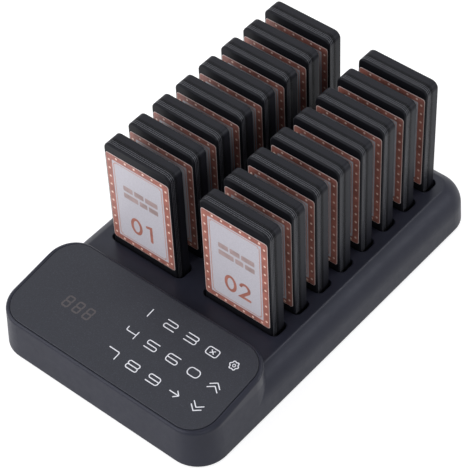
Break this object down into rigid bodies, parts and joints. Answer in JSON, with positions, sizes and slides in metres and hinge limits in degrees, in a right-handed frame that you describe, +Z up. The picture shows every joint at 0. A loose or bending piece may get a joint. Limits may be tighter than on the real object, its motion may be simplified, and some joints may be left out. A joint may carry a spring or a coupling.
{
  "type": "guest pager system",
  "caption": "Charging base with a sloping touch keypad and a slotted tray of upright coaster pagers that lift out, with a power inlet and rocker switch behind.",
  "frame": {"origin": "middle of the base's footprint, on the surface that it stands on", "axes": "+X to the right of someone who faces the keypad, +Y from the keypad towards the back, +Z up"},
  "size_m": [0.17, 0.2714, 0.1163],
  "materials": {
    "housing_plastic": "fine matte texture, charcoal",
    "cover_plastic": "matte, charcoal",
    "feet_rubber": "matte black",
    "panel_plastic": "smooth satin, dark charcoal",
    "adhesive": "black double-sided tape",
    "board_green": "solder-mask green",
    "spring_steel": "bright wire and sheet",
    "display_plastic": "pale seven-segment display block",
    "shield_metal": "tin shield",
    "buzzer_plastic": "black",
    "contact_metal": "gold-plated",
    "ribbon_plastic": "pale grey flat cable",
    "inlet_plastic": "black",
    "rocker_plastic": "black",
    "screw_steel": "zinc-plated",
    "pager_plastic": "smooth, near black",
    "band_plastic": "smoked, ribbed",
    "pager_back_plastic": "satin dark grey",
    "label_print": "printed plastic film, salmon and pale grey",
    "battery_foil": "foil pouch",
    "lamp_plastic": "clear lens"
  },
  "bodies": {
    "base": {"top_housing": "housing_plastic", "bottom_cover": "cover_plastic", "rubber_feet": "feet_rubber", "touch_panel": "panel_plastic", "panel_adhesive": "adhesive", "keypad_board": "board_green", "touch_springs": "spring_steel", "digit_display": "display_plastic", "charging_board": "board_green", "main_board": "board_green", "radio_module": "shield_metal", "buzzer": "buzzer_plastic", "aerial_wire": "spring_steel", "contact_pins": "contact_metal", "ribbon_cables": "ribbon_plastic", "power_inlet": "inlet_plastic", "switch_frame": "inlet_plastic", "case_screws": "screw_steel", "board_screws": "screw_steel"},
    "rocker": {"power_rocker": "rocker_plastic"},
    "pager_01": {"pager_01_front_cover": "pager_plastic", "pager_01_light_band": "band_plastic", "pager_01_rear_cover": "pager_back_plastic", "pager_01_label": "label_print", "pager_01_circuit_board": "board_green", "pager_01_battery": "battery_foil", "pager_01_vibration_motor": "spring_steel", "pager_01_charge_contacts": "contact_metal", "pager_01_lamps": "lamp_plastic"},
    "pager_02": {"pager_02_unit": "pager_plastic", "pager_02_label": "label_print"},
    "pager_03": {"pager_03_unit": "pager_plastic", "pager_03_label": "label_print"},
    "pager_04": {"pager_04_unit": "pager_plastic", "pager_04_label": "label_print"},
    "pager_05": {"pager_05_unit": "pager_plastic", "pager_05_label": "label_print"},
    "pager_06": {"pager_06_unit": "pager_plastic", "pager_06_label": "label_print"},
    "pager_07": {"pager_07_unit": "pager_plastic", "pager_07_label": "label_print"},
    "pager_08": {"pager_08_unit": "pager_plastic", "pager_08_label": "label_print"},
    "pager_09": {"pager_09_unit": "pager_plastic", "pager_09_label": "label_print"},
    "pager_10": {"pager_10_unit": "pager_plastic", "pager_10_label": "label_print"},
    "pager_11": {"pager_11_unit": "pager_plastic", "pager_11_label": "label_print"},
    "pager_12": {"pager_12_unit": "pager_plastic", "pager_12_label": "label_print"},
    "pager_13": {"pager_13_unit": "pager_plastic", "pager_13_label": "label_print"},
    "pager_14": {"pager_14_unit": "pager_plastic", "pager_14_label": "label_print"},
    "pager_15": {"pager_15_unit": "pager_plastic", "pager_15_label": "label_print"},
    "pager_16": {"pager_16_unit": "pager_plastic", "pager_16_label": "label_print"}
  },
  "joints": [
    {"name": "power_rocker_hinge", "type": "hinge", "parent": "base", "child": "rocker", "pos_m": [0.045, 0.132, 0.013], "axis": [0, 0, 1], "range_deg": [0, 16]},
    {"name": "pager_01_lift", "type": "slide", "parent": "base", "child": "pager_01", "axis": [0, 0, 1], "range_m": [0, 0.11]},
    {"name": "pager_02_lift", "type": "slide", "parent": "base", "child": "pager_02", "axis": [0, 0, 1], "range_m": [0, 0.11]},
    {"name": "pager_03_lift", "type": "slide", "parent": "base", "child": "pager_03", "axis": [0, 0, 1], "range_m": [0, 0.11]},
    {"name": "pager_04_lift", "type": "slide", "parent": "base", "child": "pager_04", "axis": [0, 0, 1], "range_m": [0, 0.11]},
    {"name": "pager_05_lift", "type": "slide", "parent": "base", "child": "pager_05", "axis": [0, 0, 1], "range_m": [0, 0.11]},
    {"name": "pager_06_lift", "type": "slide", "parent": "base", "child": "pager_06", "axis": [0, 0, 1], "range_m": [0, 0.11]},
    {"name": "pager_07_lift", "type": "slide", "parent": "base", "child": "pager_07", "axis": [0, 0, 1], "range_m": [0, 0.11]},
    {"name": "pager_08_lift", "type": "slide", "parent": "base", "child": "pager_08", "axis": [0, 0, 1], "range_m": [0, 0.11]},
    {"name": "pager_09_lift", "type": "slide", "parent": "base", "child": "pager_09", "axis": [0, 0, 1], "range_m": [0, 0.11]},
    {"name": "pager_10_lift", "type": "slide", "parent": "base", "child": "pager_10", "axis": [0, 0, 1], "range_m": [0, 0.11]},
    {"name": "pager_11_lift", "type": "slide", "parent": "base", "child": "pager_11", "axis": [0, 0, 1], "range_m": [0, 0.11]},
    {"name": "pager_12_lift", "type": "slide", "parent": "base", "child": "pager_12", "axis": [0, 0, 1], "range_m": [0, 0.11]},
    {"name": "pager_13_lift", "type": "slide", "parent": "base", "child": "pager_13", "axis": [0, 0, 1], "range_m": [0, 0.11]},
    {"name": "pager_14_lift", "type": "slide", "parent": "base", "child": "pager_14", "axis": [0, 0, 1], "range_m": [0, 0.11]},
    {"name": "pager_15_lift", "type": "slide", "parent": "base", "child": "pager_15", "axis": [0, 0, 1], "range_m": [0, 0.11]},
    {"name": "pager_16_lift", "type": "slide", "parent": "base", "child": "pager_16", "axis": [0, 0, 1], "range_m": [0, 0.11]}
  ]
}
